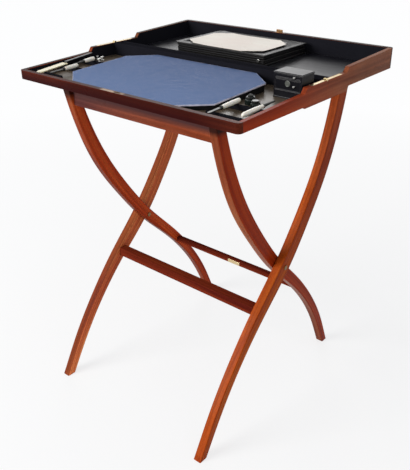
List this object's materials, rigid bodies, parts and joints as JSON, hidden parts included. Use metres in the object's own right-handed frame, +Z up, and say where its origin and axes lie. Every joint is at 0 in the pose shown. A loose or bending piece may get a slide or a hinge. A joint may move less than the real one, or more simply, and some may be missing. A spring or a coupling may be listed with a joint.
{
  "type": "folding writing box on stand",
  "caption": "Portable mahogany writing box opened flat into a table on a folding cross-leg stand, with writing pad, tool bays, letter tray and a small casket with drawers.",
  "frame": {"origin": "on the floor, at the middle of the whole object's footprint (front feet to back wall, side to side)", "axes": "+X to the writer's right, +Y from the writer towards the back of the box, +Z up; the hinge line of the box runs along X"},
  "size_m": [0.54, 0.5324, 0.7339],
  "materials": {
    "mahogany": "polished red-brown mahogany, close straight grain",
    "black_lacquer": "black lacquered wood, glossy",
    "brass": "pale polished brass, worn soft at the edges",
    "steel": "bright polished steel",
    "bone": "cream bone, polished",
    "blue_paper": "blue writing paper over a board, matte",
    "black_leather": "black grained leather, light sheen",
    "dark_glaze": "very dark glossy glaze",
    "letter_paper": "plain cream paper"
  },
  "bodies": {
    "box_base": {"base_floor": "mahogany", "base_back_wall": "mahogany", "base_right_wall": "mahogany", "base_left_wall": "mahogany", "base_hinge_wall": "black_lacquer", "base_bed_lining": "black_lacquer", "base_wall_lining": "black_lacquer", "base_partition": "black_lacquer", "base_hinge_plates": "brass", "hinge_pins": "brass", "base_hinge_screws": "brass", "link_plate": "brass", "top_pivot_cleats": "mahogany", "top_pivot_pins": "brass", "portfolio_body": "black_leather", "portfolio_cover": "black_leather", "portfolio_stud": "brass", "letter_sheets": "letter_paper"},
    "front_leaf": {"leaf_floor": "mahogany", "leaf_front_wall": "mahogany", "leaf_right_wall": "mahogany", "leaf_left_wall": "mahogany", "leaf_hinge_wall": "black_lacquer", "leaf_bed_lining": "black_lacquer", "leaf_wall_lining": "black_lacquer", "leaf_hinge_plates": "brass", "leaf_hinge_screws": "brass", "lock_plate": "brass", "pad_board": "black_lacquer", "writing_pad": "blue_paper", "tool_rests": "black_lacquer", "paper_knife_blade": "bone", "paper_knife_handle": "black_lacquer", "knife_blades": "steel", "left_knife_handle": "bone", "right_knife_handle": "bone", "seal_shank": "steel", "seal_handle": "bone", "bone_folder_handle": "bone", "bone_folder_shank": "steel", "desk_seals": "steel", "ink_and_pounce_pots": "dark_glaze", "ink_pot_cap": "steel", "casket_body": "black_lacquer"},
    "lower_drawer": {"lower_drawer": "black_lacquer", "lower_drawer_knob": "steel", "drawer_escutcheon": "steel"},
    "upper_drawer": {"upper_drawer": "black_lacquer", "upper_drawer_knob": "steel"},
    "outer_frame": {"outer_right_leg": "mahogany", "outer_left_leg": "mahogany", "front_stretcher": "mahogany", "cross_pins": "brass", "cross_washers": "brass"},
    "inner_frame": {"inner_right_leg": "mahogany", "inner_left_leg": "mahogany", "inner_top_rail": "mahogany", "back_stretcher": "mahogany", "stretcher_plaque": "brass"}
  },
  "joints": [
    {"name": "front_leaf_fold", "type": "hinge", "parent": "box_base", "child": "front_leaf", "pos_m": [0, 0.01919, 0.714], "axis": [1, 0, 0], "range_deg": [-180, 0]},
    {"name": "lower_drawer_slide", "type": "slide", "parent": "front_leaf", "child": "lower_drawer", "axis": [0, -1, 0], "range_m": [0, 0.028]},
    {"name": "upper_drawer_slide", "type": "slide", "parent": "front_leaf", "child": "upper_drawer", "axis": [0, -1, 0], "range_m": [0, 0.028]},
    {"name": "outer_frame_fold", "type": "hinge", "parent": "box_base", "child": "outer_frame", "pos_m": [0, 0.18919, 0.6707], "axis": [1, 0, 0], "range_deg": [0, 25.5]},
    {"name": "inner_frame_fold", "type": "hinge", "parent": "outer_frame", "child": "inner_frame", "pos_m": [0, 0.00619, 0.326], "axis": [1, 0, 0], "range_deg": [-51, 0]}
  ],
  "couplings": [
    {"joint": "inner_frame_fold", "follows": "outer_frame_fold", "ratio": -2}
  ]
}
